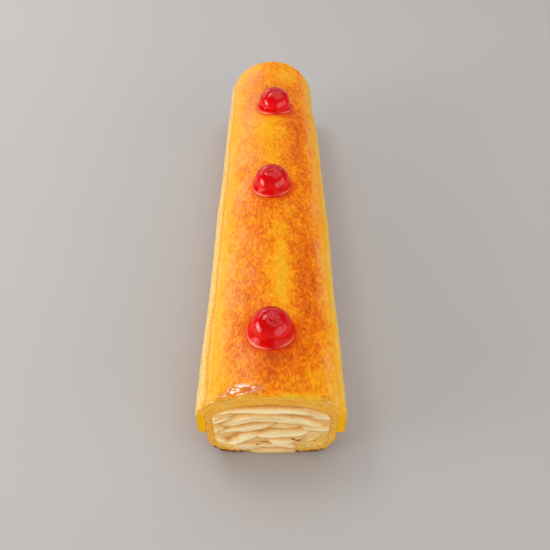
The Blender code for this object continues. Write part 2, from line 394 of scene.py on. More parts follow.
def makeSkinGroup():
    # a leathery skin of small bulging cells, bent by a noise: Cells is 0 in the middle of a cell and
    # 1 in the creases between cells, and Tint is one value for each cell
    group, given, out = newGroup("skin", ("Scale", "Bend", "AlongShare"), ("Cells", "Tint"))
    place = stretchedPlace(group, given)
    bend = addNode(group, "ShaderNodeTexNoise", Vector=place, Scale=420.0, Detail=2.0).outputs["Color"]
    for operation, key, value in (
        ("SUBTRACT", "i1", (0.5, 0.5, 0.5)), ("SCALE", "Scale", given.outputs["Bend"]), ("ADD", "i1", place),
    ):
        step = addNode(group, "ShaderNodeVectorMath", {"operation": operation}, i0=bend, **{key: value})
        bend = step.outputs[0]
    cells = addNode(group, "ShaderNodeTexVoronoi", Vector=bend, Scale=given.outputs["Scale"])
    group.links.new(remap(group, cells.outputs["Distance"], 0.15, 0.75), out.inputs["Cells"])
    tint = addNode(group, "ShaderNodeSeparateColor", Color=cells.outputs["Color"])
    group.links.new(tint.outputs["Red"], out.inputs["Tint"])
    return group


mottle = makeMottleGroup()
pores = makePoreGroup()
skin = makeSkinGroup()
print("shader groups made")


def blotches(tree, coarse, fine, fineShare, alongShare=1.0):
    values = {"Coarse": coarse, "Fine": fine, "FineShare": fineShare, "AlongShare": alongShare}
    return useGroup(tree, mottle, **values).outputs["Mask"]


def poreHeight(tree, scale, edges):
    return useGroup(tree, pores, Scale=scale, Spread=edges).outputs["Height"]


def layOver(tree, colour, *layers):
    # colours laid over one another, each given as its share and itself
    for share, layer in layers:
        colour = blendColour(tree, share, colour, layer)
    return colour


# The yolk coat
coat = {
    "atSide": 0.0042,
    "atCrown": 0.0032,
    "overlap": 0.0003,      # reaches this far into the sponge
    "hemHeight": 0.0235,
    "hemWave": 0.0006,
    "hemToHem": 0.135,      # length over the crown
    "hemRound": 0.0009,
    "cutRound": 0.0032,
    "leftAtCrown": 0.65,    # share of the thickness that is left at the cuts, by the crown
    "leftAtHem": 0.90,      # and by the hem
    "leftAtEdge": 0.86,     # share that is left at the hem's own edge
    "around": 126,
    "along": 344,
    "through": 4,
    "fineSteps": (0.0, 0.00015, 0.0005, 0.0010, 0.0017, 0.0026, 0.0036),
    # noises: depth, size, layers and seed
    "waves": ((0.00026, (0.016, 0.028, 0.016), 1, 3), (0.00015, 0.0045, 2, 7)),
    "strokes": (0.00016, (0.0030, 0.040, 0.0022), 2, 17),
    "ripples": (0.00050, (0.0036, 0.0014, 0.0036), 2, 27),
    "creaseWander": ((0.018, 0.022, 1, 21), (0.006, 0.006, 1, 22)),
    "ringWander": (0.10, 0.004, 1, 33),
    "toastWander": (0.045, (0.005, 0.010, 0.005), 2, 31),
    "toastBlotches": (0.07, (0.008, 0.014, 0.008), 2, 44),
    "cutWander": (0.0016, (0.005, 0.004, 0.005), 2, 47),
    "milkyWander": (0.05, (0.006, 0.016, 0.006), 2, 65),
    "stainWander": (0.0010, 0.004, 1, 51),
    "pits": (0.00010, 0.0021, 1, 12),
    "strokesFrom": (0.70, 0.86),    # shares of the half width, as the places below
    "reliefFade": (-0.0012, 0.0018),    # distances from the cut
    "creaseDepth": 0.00095,
    "creases": ((-0.855, 0.024, 1.0), (-0.775, 0.024, 0.35), (0.885, 0.024, 0.55), (0.80, 0.024, 0.25)),
    # bands of painted sheen on the top
    "milkyBands": ((-0.53, 0.27, 0.85), (0.78, 0.09, 0.60)),    # middle, reach and level, as the creases
    "ringMark": {
        "across": -0.0256, "along": 0.115, "halfWidth": 0.0026, "halfLength": 0.0088,
        "line": 0.22, "depth": 0.0004, "toast": 0.16,
    },
    # how toasted the coat is, by the share of the half width from the left edge to the right one
    "toastPlaces": (-1.0, -0.90, -0.84, -0.76, -0.66, -0.52, -0.30, 0.0, 0.30, 0.50, 0.66, 0.80, 0.90, 1.0),
    "toastLevels": (0.02, 0.03, 0.08, 0.32, 0.50, 0.63, 0.68, 0.66, 0.68, 0.71, 0.68, 0.53, 0.27, 0.08),
    "wetToast": 0.14,
    "cutToast": 0.22,
    "cutFade": (-0.001, 0.0040),    # distances from the cut
    "cutSkew": 0.0012,
    "stainFade": (0.0125, 0.0180),    # distances from a cherry's middle
    "stainForward": 0.0012,
    "hemwardFade": (0.040, 0.047),    # heights
    "speckleAlong": 0.62,    # below 1 the speckle is longer along the roll
    # the sheen tint is painted sheen, and the light grain is partly painted sheen
    "colours": paints(
        pale=(230, 200, 128), yellow=(236, 182, 50), amber=(246, 168, 18), orange=(242, 144, 4),
        brown=(234, 110, 2), dark=(218, 97, 2), scorched=(194, 75, 0), grainLight=(255, 190, 118),
        bloom=(230, 168, 114), dot=(200, 132, 40), crease=(228, 150, 26), cut=(255, 188, 0),
        cutAbove=(255, 188, 66), syrup=(224, 44, 0),
    ),
}
# lighter and darker places on the toasted top, in millimetres: x, distance from the front cut, reach
# along both, and how much more (or less) they are toasted. The darker ones just in front of the front
# cherry are partly its painted shadow
toastPatches = (
    (5.8, 85, 6.4, 38, -0.33), (4, 122, 6.6, 22, 0.02), (2, 22, 15, 12, 0.21), (9, 30, 9, 10, 0.16),
    (16, 314, 12, 16, -0.2), (-18, 40, 6, 16, 0.07), (-11, 8, 7, 5, -0.1), (23, 82, 9, 34, 0.14),
    (-15, 62, 6, 18, 0.06), (0, 198, 10, 14, -0.14), (-4, 230, 15, 18, -0.33), (24, 13, 8.5, 14, -0.21),
    (-20, 325, 12, 12, -0.24), (2, 305, 14, 16, -0.12), (18, 235, 10, 34, 0.16), (-12, 140, 8, 18, 0.05),
    (0, 148, 14, 6, 0.08),
)
# wet, glossy places by the front edge, given in the same way
wetPatches = (
    (-25.5, 2.2, 5, 2, 1), (-21.5, 3.6, 3, 3, 1), (-12.5, 3.2, 4, 2.8, 1), (-7.8, 4.4, 2.8, 2.4, 1),
    (-16.5, 5.8, 3.4, 1.6, 1), (29, 1.5, 3, 1.4, 1),
)


def hemPath(share):
    # the path value at the coat's hem, which wanders a little up and down
    sizes = sectionSizes(share)
    hem = coat["hemHeight"] + coat["hemWave"] * np.sin(9 * math.pi * share)
    return 2 + (hem - sizes["sideFoot"]) / (sizes["sideTop"] - sizes["sideFoot"])


def coatThickness(share, z):
    # thick at the side and thinner at the crown, and rounded off by a quarter ellipse at both cuts
    sizes = sectionSizes(share)
    crown = np.clip((z - sizes["sideTop"]) / (sizes["height"] - sizes["sideTop"]), 0, 1)
    full = mix(coat["atSide"], coat["atCrown"], crown)
    atCut = mix(coat["leftAtHem"], coat["leftAtCrown"], crown)
    return full * mix(atCut, 1.0, quarterRound(fromCuts(share) / coat["cutRound"]))


def acrossShare(points, share):
    # -1 at the coat's left edge, 0 along the crown and 1 at its right edge
    return points[..., 0] / (sectionSizes(share)["halfWidth"] + roll["gap"] + coat["atSide"])


def wetShare(points, strength=1.0):
    # the sum of the wet patches, up to 1
    return np.clip(patchSum(points[..., 0], fromFront(points), wetPatches) * strength, 0, 1)


def ringMark(points):
    # 1 along an oval line pressed in the coat, fading to both sides of it
    mark = coat["ringMark"]
    awayAcross = (points[..., 0] - mark["across"]) / mark["halfWidth"]
    awayAlong = (fromFront(points) - mark["along"]) / mark["halfLength"]
    reach = np.hypot(awayAcross, awayAlong) + noiseSum(points, coat["ringWander"])
    return bellSum(reach, ((1, mark["line"], 1),))


def creaseSum(points, share, widthShare=1.0):
    # bell-shaped lines along the roll, which wander a little from side to side
    across = acrossShare(points, share) + noiseSum(points * (0, 1, 0), *coat["creaseWander"])
    return bellSum(across, coat["creases"], widthShare)


def coatRelief(points, share):
    # spread by hand: slow waves and dabs less small pits, with long strokes down the sides, less the
    # creases where the top meets the sides and a pressed ring, with ripples in the wet places
    relief = noiseSum(points, *coat["waves"]) - np.abs(noiseSum(points, coat["pits"]))
    side = smoothStep(*coat["strokesFrom"], np.abs(acrossShare(points, share)))
    relief = relief + side * noiseSum(points, coat["strokes"])
    relief = relief - coat["creaseDepth"] * creaseSum(points, share)
    relief = relief - coat["ringMark"]["depth"] * ringMark(points)
    return relief + wetShare(points) * noiseSum(points, coat["ripples"])


def toastMask(points, share):
    # toasted on top and pale down the sides, as listed above, with blotches and patches, some of them
    # the front cherry's painted shadow, and fading again where the coat rounds over towards both cuts
    across = acrossShare(points, share) + noiseSum(points, coat["toastWander"])
    toast = np.interp(across, coat["toastPlaces"], coat["toastLevels"])
    toast = toast + noiseSum(points, coat["toastBlotches"]) * smoothStep(0.2, 0.6, toast)
    toast = toast + patchSum(points[..., 0], fromFront(points), toastPatches)
    toast = toast + coat["ringMark"]["toast"] * ringMark(points) + coat["wetToast"] * wetShare(points)
    ragged = fromCuts(share) + noiseSum(points, coat["cutWander"]) - coat["cutSkew"] * across
    return np.clip(mix(coat["cutToast"], toast, smoothStep(*coat["cutFade"], ragged)), 0, 1)


def milkyMask(points, share):
    # painted sheen, where the lamps would reflect: a broad band left of the crown and a narrow one by the
    # right side
    across = acrossShare(points, share) + noiseSum(points, coat["milkyWander"])
    return np.clip(bellSum(across, coat["milkyBands"]), 0, 1)


def stainMask(points):
    # 1 round each cherry, where syrup stains the coat and the cherry's red reflected light is painted, set a
    # little forward, down to 0 by the distance from its middle
    ragged = noiseSum(points, coat["stainWander"])
    stain = 0
    for plan in cherries.values():
        along = fromFront(points) - plan["along"] + coat["stainForward"]
        away = np.hypot(points[..., 0] - plan["across"], along) + ragged
        stain = np.maximum(stain, 1 - smoothStep(*coat["stainFade"], away))
    return stain


def makeCoat(material):
    # a block of points: through the coat, along the roll, and round it from hem to hem
    share = sharesWithFineEnds(coat["along"], coat["fineSteps"])[:, None]
    hem, evenHem = hemPath(share), hemPath(roll["evenAt"])
    even = evenPath(coat["around"], evenHem, 8 - evenHem)
    across = ((even - even[0]) / (even[-1] - even[0]))[None, :]
    path = mix(hem, 8 - hem, across)
    inner = rollPoint(path, share, -coat["overlap"])
    fromHem = np.minimum(across, 1 - across) * coat["hemToHem"]
    atEdge = mix(coat["leftAtEdge"], 1.0, quarterRound(fromHem / coat["hemRound"]))
    thickness = coatThickness(share, inner[..., 2]) * atEdge
    bare = rollPoint(path, share, roll["gap"] + thickness)
    relief = coatRelief(bare, share) * smoothStep(*coat["reliefFade"], fromCuts(share))
    outer = rollPoint(path, share, roll["gap"] + thickness + relief)
    through = np.linspace(0, 1, coat["through"] + 1)[:, None, None, None]
    block = mix(inner[None], outer[None], through)
    moveCuts(block, cutWobble(block))
    cut = np.zeros(block.shape[:3])
    cut[:-1, 0] = cut[:-1, -1] = 1
    cut[:-1, :, 0] = cut[:-1, :, -1] = 0.8
    masks = {
        "cut": cut,
        "toast": toastMask(outer, share),
        "crease": np.clip(1.3 * creaseSum(outer, share, 0.9), 0, 1),
        "stain": stainMask(outer),
        "milky": milkyMask(outer, share),
        "wet": wetShare(outer, 1.4),
        "hemward": 1 - smoothStep(*coat["hemwardFade"], outer[..., 2]),
    }
    piece = makePiece("yolkCoat", material, *blockSkin(block, masks))
    fitIn(piece, "yolk_coat")


def makeToastedYolk():
    # the ramp's tone is the toast mask, with some painted shadow of the front cherry, plus a speckle of
    # blotches and skin cells, weaker where it is pale. Painted sheen, grain that is partly painted sheen
    # and dots lie over it, then creases, the cut and the syrup's stain with painted red reflected light
    material, tree = newMaterial("toastedYolk")
    colours, alongShare = coat["colours"], coat["speckleAlong"]
    blotch = blotches(tree, 190.0, 520.0, 0.5, alongShare)
    grain = blotches(tree, 760.0, 1500.0, 0.4, alongShare)
    haze = blotches(tree, 75.0, 520.0, 0.42, alongShare)
    shade = blotches(tree, 330.0, 980.0, 0.5, alongShare)
    ripple = blotches(tree, 520.0, 900.0, 0.35)
    leather = useGroup(tree, skin, Scale=560.0, Bend=0.0018, AlongShare=alongShare)
    toast = readMask(tree, "toast")
    milky = readMask(tree, "milky")
    wet = readMask(tree, "wet")
    speckle = noiseRange(tree, blotch, -0.16, 0.16)
    for part in (
        noiseRange(tree, grain, -0.12, 0.12),
        remap(tree, leather.outputs["Tint"], 0.0, 1.0, -0.09, 0.09),
        remap(tree, leather.outputs["Cells"], 0.35, 1.0, -0.03, 0.08),
    ):
        speckle = calculate(tree, "ADD", speckle, part)
    speckle = times(tree, speckle, remap(tree, toast, 0.1, 0.6, 0.40, 1.0))
    tone = calculate(tree, "ADD", toast, speckle, clamp=True)
    colour = colourRamp(
        tree, tone, colours,
        pale=0.0, yellow=0.20, amber=0.42, orange=0.60, brown=0.76, dark=0.90, scorched=1.0,
    )
    # painted sheen in blotches, pale and pink where the lamps would reflect
    bloom = times(tree, remap(tree, haze, 0.42, 0.60, 0.05, 0.55), milky)
    # paler grain, partly painted sheen, strongest in the bands of painted sheen
    lighter = times(tree, remap(tree, grain, 0.50, 0.38), remap(tree, milky, 0.0, 1.0, 0.08, 0.30))
    bare = times(tree, remap(tree, toast, 0.05, 0.40, 0.62, 0.06), remap(tree, blotch, 0.42, 0.60, 0.12, 1.0))
    dots = times(tree, remap(tree, poreHeight(tree, 760.0, 0.80), 0.0, 0.20, 1.0, 0.0), bare)
    colour = layOver(
        tree, colour, (bloom, colours["bloom"]), (lighter, colours["grainLight"]), (dots, colours["dot"]),
    )
    value = noiseRange(tree, shade, 0.87, 1.07)
    colour = addNode(tree, "ShaderNodeHueSaturation", Color=colour, Value=value).outputs["Color"]
    cut = blendColour(tree, readMask(tree, "hemward"), colours["cutAbove"], colours["cut"])
    colour = layOver(
        tree, colour,
        (times(tree, readMask(tree, "crease"), 0.9), colours["crease"]),
        (readMask(tree, "cut"), cut),
        # the syrup's stain with painted red reflected light round the cherries
        (times(tree, readMask(tree, "stain"), 0.62), colours["syrup"]),
    )
    height = calculate(tree, "ADD", times(tree, blotch, 0.6), times(tree, grain, 0.4))
    bulge = calculate(tree, "SUBTRACT", 1.0, leather.outputs["Cells"])
    bump = bumpFrom(tree, bulge, 0.5, 0.0004)
    bump = bumpFrom(tree, times(tree, ripple, wet), 1.0, 0.0024, Normal=bump)
    return feedShader(
        material, IOR=1.13, Coat_IOR=1.94, Base_Color=colour,
        Roughness=times(tree, noiseRange(tree, blotch, 0.28, 0.44), remap(tree, wet, 0.2, 0.8, 1.0, 0.3)),
        Coat_Weight=times(tree, wet, remap(tree, ripple, 0.43, 0.50, 0.1, 1.0)),
        Normal=bumpFrom(tree, height, 0.5, 0.0006, Normal=bump),
    )


# The glace cherries
# distance from the front cut and place across, size, turns in degrees, the syrup's reach in radii
cherryKeys = ("along", "across", "diameter", "lean", "roll", "reach", "seed")
cherries = {
    "cherry_front": dict(zip(cherryKeys, (0.0415, 0.0000, 0.0218, 25, 14, 1.19, 5))),
    "cherry_middle": dict(zip(cherryKeys, (0.1655, 0.0000, 0.0224, 17, -1, 1.14, 6))),
    "cherry_back": dict(zip(cherryKeys, (0.2615, 0.0018, 0.0230, 8, 4, 1.12, 7))),
}
cherryShape = {
    "rise": 0.0025,
    "seat": 0.0014,
    "glaze": 0.0006,    # a film of syrup all round
    "squash": 0.94,
    "pitRadius": 0.0011,
    "pitDepth": 0.0009,
    "pitStretch": 0.40,    # longer across than along
    "pitEdge": 2.2,
    "pitDown": 1.5,        # the pit is kept to this angle from the top
    "pitWander": (0.90, 0.0017, 1, 9),
    "uneven": (0.00022, 0.007, 1, 0),
    "pucker": ((1.3, 0.8, 0.00008),),    # middle and reach in pit radii, and depth
    "puckers": 4,
    "puckerBend": 1.6,
    "rings": 90,
    "around": 120,
    # deep and rim are painted shade, towards the top and at the turning edge
    "colours": paints(
        dark=(208, 0, 0), red=(230, 1, 0), light=(246, 12, 0), deep=(186, 0, 8), rim=(150, 0, 10),
    ),
}


def nameAfter(kind, node):
    # such as cherryFront for cherry_front
    return kind + node.split("_")[1].capitalize()


def crownHeight(share):
    return sectionSizes(share)["height"] + roll["gap"] + coat["atCrown"]


def ballAngles(rings, around):
    # angle down from the pole and turn round it, for the top pole, the rings and the bottom pole
    down = np.repeat(np.linspace(0, math.pi, rings)[1:-1], around)
    turn = np.tile(np.linspace(0, 2 * math.pi, around, endpoint=False), rings - 2)
    return np.concatenate(([0], down, [math.pi])), np.concatenate(([0], turn, [0]))


def ballFaces(rings, around):
    # triangles round both poles and quads between the rings, as two arrays of vertex numbers
    ring = 1 + np.arange((rings - 2) * around).reshape(-1, around)
    closed = np.concatenate((ring, ring[:, :1]), axis=1)
    last = (rings - 2) * around + 1
    top = np.stack((np.zeros(around, dtype=int), closed[0, :-1], closed[0, 1:]), axis=1)
    bottom = np.stack((np.full(around, last), closed[-1, 1:], closed[-1, :-1]), axis=1)
    return np.concatenate((top, bottom)), gridQuads(closed)


def directions(down, turn):
    return np.stack((np.sin(down) * np.cos(turn), np.sin(down) * np.sin(turn), np.cos(down)), axis=-1)


def makeCherry(node, plan, material):
    # a ball pressed in at the stone's pit: radius less a bell-shaped pit with an uneven edge and
    # puckers that follow the angle, then leaned over and flattened where it sits in the coat
    shape, seed = cherryShape, plan["seed"]
    down, turn = ballAngles(shape["rings"], shape["around"])
    radius = plan["diameter"] / 2 + shape["glaze"]
    way = directions(down, turn)
    reach = way[:, :2] * (1 - shape["pitStretch"], 1 + shape["pitStretch"])
    away = radius * np.hypot(reach[:, 0], reach[:, 1]) / shape["pitRadius"]
    away = away * (1 + noiseSum(way * radius, shape["pitWander"], shift=seed))
    away[down > shape["pitDown"]] = 99
    pit = shape["pitDepth"] * np.exp(-away ** shape["pitEdge"])
    bend = shape["puckerBend"] * np.sin(2 * turn + seed)
    pucker = bellSum(away, shape["pucker"]) * np.cos(shape["puckers"] * turn + bend)
    uneven = noiseSum(way * radius, shape["uneven"], shift=seed)
    ball = way * (radius - pit + pucker + uneven)[:, None] * (1, 1, shape["squash"])
    turns = mathutils.Euler((math.radians(plan["lean"]), math.radians(plan["roll"]), 0)).to_matrix()
    share = plan["along"] / rollLength
    centre = np.array((plan["across"], rollLength * (share - 0.5), crownHeight(share) + shape["rise"]))
    points = ball @ np.array(turns).T + centre
    points[:, 2] = np.maximum(points[:, 2], crownHeight(share) - shape["seat"])
    # how high each point is on the ball, which the material uses for painted shade towards the top
    rise = (points[:, 2] - points[:, 2].min()) / np.ptp(points[:, 2])
    faceSets = ballFaces(shape["rings"], shape["around"])
    piece = makePiece(nameAfter("cherry", node), material, points, faceSets, {"rise": rise})
    fitIn(piece, node)


def makeGlaceCherry():
    # red blotches, with painted shade: a deeper red towards the top and a dark rim where the surface turns
    # away
    material, tree = newMaterial("glaceCherry")
    colours = cherryShape["colours"]
    blotch = blotches(tree, 160.0, 500.0, 0.35)
    facing = addNode(tree, "ShaderNodeLayerWeight", Blend=0.35).outputs["Facing"]
    colour = layOver(
        tree, colourRamp(tree, blotch, colours, dark=0.30, red=0.52, light=0.72),
        (remap(tree, readMask(tree, "rise"), 0.40, 0.95, 0.0, 0.75), colours["deep"]),
        (remap(tree, facing, 0.30, 0.95, 0.0, 0.75), colours["rim"]),
    )
    return feedShader(
        material, IOR=1.40, Subsurface_Weight=0.3, Subsurface_Scale=0.004,
        Subsurface_Radius=(1.0, 0.08, 0.05), Base_Color=colour,
        Roughness=noiseRange(tree, blotch, 0.07, 0.12), Normal=bumpFrom(tree, blotch, 0.16, 0.0006),
    )


# The syrup round the cherries
syrup = {
    "height": 0.0050,   # up the cherry's side
    "fall": 1.35,       # the power by which that height falls
    "edge": 0.0006,     # rounded bead at the outer edge
    "under": 0.0007,    # how far it goes into the coat
    "inside": 0.80,     # where it starts, inside the cherry, in the cherry's radii
    "contactAt": 0.90,
    "waves": ((2, 1.0, 1.0), (3, 2.1, 0.6), (7, 0.0, 0.3)),    # count, shift by the seed, and share
    "wobble": 0.015,
    "pool": 0.0011,     # reaches further on the side where it gathers
    "poolAt": 225,
    "rings": 34,
    "around": 128,
    # a painted glow of light focused through the syrup, along its outer edge
    "glows": ((228, 0.17, 1.0), (192, 0.12, 0.50), (318, 0.10, 0.75)),   # angle, spread and strength
    "glowBand": ((0.84, 0.09, 1.0),),
    "colours": paints(deep=(206, 0, 0), bright=(226, 2, 0), thin=(206, 24, 8), glow=(255, 134, 98)),
}


def coatTop(x, share):
    # height of the smooth coat over x: the arch's ellipse grown by the coat's thickness
    sizes = sectionSizes(share)
    halfWidth = sizes["halfWidth"] + roll["gap"] + coat["atSide"]
    rise = sizes["height"] - sizes["sideTop"] + roll["gap"] + coat["atCrown"]
    return sizes["sideTop"] + rise * np.sqrt(1 - (x / halfWidth) ** 2)


def makeSyrup(node, plan, material):
    # a closed ring: its height falls from the cherry's side as a power of the distance, plus a
    # rounded bead, and its outer edge dips under the coat's surface
    radius = plan["diameter"] / 2 + cherryShape["glaze"]
    turn = np.linspace(0, 2 * math.pi, syrup["around"], endpoint=False)[None, :]
    wave = sum(level * np.sin(count * turn + shift * plan["seed"]) for count, shift, level in syrup["waves"])
    outer = radius * plan["reach"] * (1 + syrup["wobble"] * wave)
    outer = outer + syrup["pool"] * np.clip(np.cos(turn - math.radians(syrup["poolAt"])), 0, 1) ** 2
    out = mix(radius * syrup["inside"], outer, np.linspace(0, 1, syrup["rings"])[:, None])
    touch = radius * syrup["contactAt"]
    contact = np.clip((out - touch) / (outer - touch), 0, 1)
    meniscus = syrup["height"] * (1 - contact) ** syrup["fall"]
    bead = syrup["edge"] * np.clip(1 - contact ** 4, 0, 1) ** 0.7 * (1 + 0.35 * smoothStep(0.3, 0.8, contact))
    lift = meniscus + bead - syrup["under"] * smoothStep(0.93, 1.0, contact)
    x = plan["across"] + out * np.cos(turn)
    y = plan["along"] - rollLength / 2 + out * np.sin(turn)
    ground = coatTop(x, y / rollLength + 0.5)
    topSide = np.stack((x, y, ground + lift), axis=-1)
    underSide = np.stack((x, y, ground - syrup["under"] * 1.3), axis=-1)[::-1]
    rows = np.concatenate((topSide, underSide))
    # painted glow of focused light, in lobes round the outer edge
    lobes = []
    for at, reach, level in syrup["glows"]:
        lobes.append(bellSum(np.cos(turn - math.radians(at)), ((1, reach, level),)))
    thin = smoothStep(0.45, 1.0, contact)
    glow = bellSum(contact, syrup["glowBand"]) * np.max(lobes, axis=0)
    masks = {"thin": np.concatenate((thin, thin[::-1])), "glow": np.concatenate((glow, glow * 0))}
    index = np.pad(np.arange(rows[..., 0].size).reshape(rows.shape[:2]), (0, 1), mode="wrap")
    piece = makePiece(nameAfter("syrup", node), material, rows, (gridQuads(index),), masks)
    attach(piece, "root")


def makeCherrySyrup():
    # deep red in blotches, paler where it is thin, with a painted glow of focused light by its outer edge,
    # and see-through at its outer edge
    material, tree = newMaterial("cherrySyrup")
    colours, thin = syrup["colours"], readMask(tree, "thin")
    blotch = noiseRange(tree, blotches(tree, 200.0, 700.0, 0.3), 0.0, 1.0)
    colour = layOver(
        tree, colours["deep"],
        (blotch, colours["bright"]), (thin, colours["thin"]), (readMask(tree, "glow"), colours["glow"]),
    )
    alpha = remap(tree, thin, 0.90, 1.0, 0.97, 0.66)
    return feedShader(material, IOR=1.22, Roughness=0.16, Base_Color=colour, Alpha=alpha)


# The sponge sheet
sponge = {
    "atSide": 0.0050,
    "atCrown": 0.0062,
    "around": 150,
    "along": 262,
    "through": 8,
    "fineSteps": (0.0, 0.0003, 0.0008, 0.0015),
    # noises: depth, size, layers and seed
    "skinWave": (0.00018, (0.008, 0.012, 0.008), 1, 71),
    "skinPit": (0.00010, 0.0016, 1, 72),
    "crumb": (0.00040, 0.0009, 1, 73),
    "tear": (0.00060, 0.0034, 2, 74),
    "footTear": (0.0010, (0.0036, 0.0070, 0.0036), 2, 78),
    "footTop": (0.015, 0.019),    # heights
    "hiddenFrom": (2.35, 2.45),    # path values where the coat starts to cover it
    "colours": paints(
        crumb=(255, 172, 44), crumbLight=(255, 204, 88), pore=(224, 146, 38),
        skin=(232, 162, 70), skinDark=(186, 106, 40), crust=(96, 40, 12),
    ),
}


def spongeThickness(path):
    # thicker up the arch, in step with its height
    upArch = np.sin(np.clip(np.minimum(path, 8 - path) - 3, 0, 1) * math.pi / 2)
    return mix(sponge["atSide"], sponge["atCrown"], upArch)


def spongeRelief(points, hidden):
    # a slow wave less its own depth and small pits, less tears low down, and flat under the coat
    height = points[..., 2]
    relief = noiseSum(points, sponge["skinWave"]) - np.abs(noiseSum(points, sponge["skinPit"]))
    low = (1 - smoothStep(*sponge["footTop"], height)) * smoothStep(0.0, 0.0015, height)
    relief = relief - sponge["skinWave"][0] - low * hillsOnly(points, sponge["footTear"])
    return relief * (1 - hidden)


def makeSponge(material):
    # a block of points: through the sheet, along the roll, and round it from seam to seam
    share = sharesWithFineEnds(sponge["along"], sponge["fineSteps"])[:, None]
    path = evenPath(sponge["around"], 0, 8)[None, :]
    through = np.linspace(-1, 0, sponge["through"] + 1)[:, None, None] * spongeThickness(path)
    hidden = smoothStep(*sponge["hiddenFrom"], np.minimum(path, 8 - path))
    relief = spongeRelief(rollPoint(path, share, 0.0), hidden)
    block = rollPoint(path[None], share[None], through + relief[None] * (through == 0))
    wobble = cutWobble(block) - np.abs(noiseSum(block, sponge["crumb"])) - hillsOnly(block, sponge["tear"])
    moveCuts(block, wobble)
    block[..., 2] = np.maximum(block[..., 2], 0.0)
    skinMask = np.zeros(block.shape[:3])
    skinMask[-1] = 1 - 0.8 * hidden
    skinMask[-2] = 0.15
    skinMask[0] = 0.8
    masks = {"skin": skinMask, "foot": 1 - smoothStep(0.001, 0.006, block[..., 2])}
    piece = makePiece("spongeSheet", material, *blockSkin(block, masks))
    fitIn(piece, "sponge")


def makeSpongeCrumb():
    # yellow crumb with brown pores, and over the skin a browner ramp that is scorched at the foot
    material, tree = newMaterial("spongeCrumb")
    colours = sponge["colours"]
    blotch = blotches(tree, 130.0, 900.0, 0.5)
    pits = poreHeight(tree, 900.0, 0.45)
    foot = times(tree, readMask(tree, "foot"), remap(tree, blotch, 0.40, 0.56, 0.35, 1.0))
    skinTone = colourRamp(tree, blotch, colours, skinDark=0.30, skin=0.55, crumbLight=0.8)
    colour = layOver(
        tree, colours["crumb"],
        (remap(tree, blotch, 0.35, 0.65), colours["crumbLight"]),
        (remap(tree, pits, 0.1, 0.5, 0.5, 0.0), colours["pore"]),
        (readMask(tree, "skin"), blendColour(tree, foot, skinTone, colours["crust"])),
    )
    return feedShader(
        material, IOR=1.35, Subsurface_Weight=0.15, Subsurface_Scale=0.002,
        Subsurface_Radius=(1.0, 0.6, 0.3), Base_Color=colour,
        Roughness=noiseRange(tree, blotch, 0.72, 0.9), Normal=bumpFrom(tree, pits, 0.55, 0.0005),
    )


# The whipped cream
cream = {
    "across": 200,
    "up": 170,
    "stations": 14,
    "step": 0.00033,       # between two points of a cut's grid, about
    "overlap": 0.0003,     # reaches this far into the sponge, so that no gap shows at the cut
    "hollow": 0.0004,
    "crownBulge": 0.0006,
    "proudShare": 0.82,
    "ridges": (0.00075, 1.0, 3, 80),    # depth, size, layers and seed, as the ones below
    "grain": (0.00006, 0.0008, 2, 91),
    "smearGrain": (0.00045, 0.0016, 3, 93),
    "smearEdge": (0.22, 0.0032, 3, 96),
    "wanderX": (0.0016, 0.012, 1, 75),
    "wanderZ": (0.0010, (0.011, 0.007, 1), 1, 76),
    "droop": 0.25,
    "rimFade": 0.0014,
    "union": 4,            # how sharply one fold ends where the next stands higher
    "spill": 0.0036,
    "spillBelow": 0.010,
    # from painted shade in the valleys to painted highlight on the crests
    "colours": paints(
        crest=(255, 230, 178), light=(248, 208, 138), warm=(242, 186, 106), deep=(212, 148, 66),
    ),
}
# folds of the cut, in millimetres: middle x and z, half length, half thickness, slope, bow and
# how far each stands out
creamFolds = (
    (-1, 50.5, 27, 2.8, -0.06, 6.0, 2.2),
    (-4, 44.5, 24, 4.4, 0.05, 10.0, 3.0),
    (13, 40.0, 17, 3.4, -0.22, 4.5, 2.7),
    (-15, 31.6, 16, 2.2, 0.33, 1.0, 2.6),
    (6, 34.5, 12, 2.2, 0.05, 2.2, 1.4),
    (6, 27.8, 17, 3.4, 0.12, 2.4, 3.4),
    (24, 31.0, 10, 2.8, -0.34, 1.0, 2.2),
    (-15.5, 21.5, 9.2, 3.8, 0.58, 0.4, 3.8),
    (-29, 29.0, 5, 4.6, 0.50, 0.5, 2.0),
    (-26, 17.0, 7, 3.6, -0.35, 0.8, 2.2),
    (5, 18.0, 8.5, 2.3, -0.03, 0.8, 3.2),
    (21, 24.0, 10, 2.8, -0.20, 1.0, 2.1),
    (18, 18.6, 9, 2.6, 0.10, 0.6, 2.2),
    (3, 12.0, 14, 2.4, -0.12, 1.2, 2.6),
    (-14, 10.0, 11, 2.8, 0.24, 0.6, 2.2),
    (22, 11.0, 9, 2.8, 0.20, 0.6, 2.0),
    (2, 5.0, 15, 3.4, -0.02, 1.4, 2.4),
    (-22, 6.5, 8, 2.6, -0.20, 0.6, 1.8),
    (-27, 39.0, 7, 3.2, 0.40, 0.6, 1.5),
    (-24, 48.0, 7, 2.4, 0.45, 0.8, 1.3),
    (27, 43.0, 7, 2.6, -0.45, 0.6, 1.5),
)
# crumbs smeared into the cream by the knife, in millimetres: middle x and z, reach along both, share
creamSmears = (
    (24, 8.0, 11, 6.0, 1.2),
    (29, 17, 4.5, 9.0, 0.8),
    (17, 17.5, 7.0, 3.0, 0.6),
    (-28, 8.0, 8, 5.0, 1.2),
    (-31, 16, 3.0, 8.0, 0.7),
    (-6, 13.5, 6.0, 1.6, 0.5),
    (22, 43, 7, 2.0, 0.5),
)


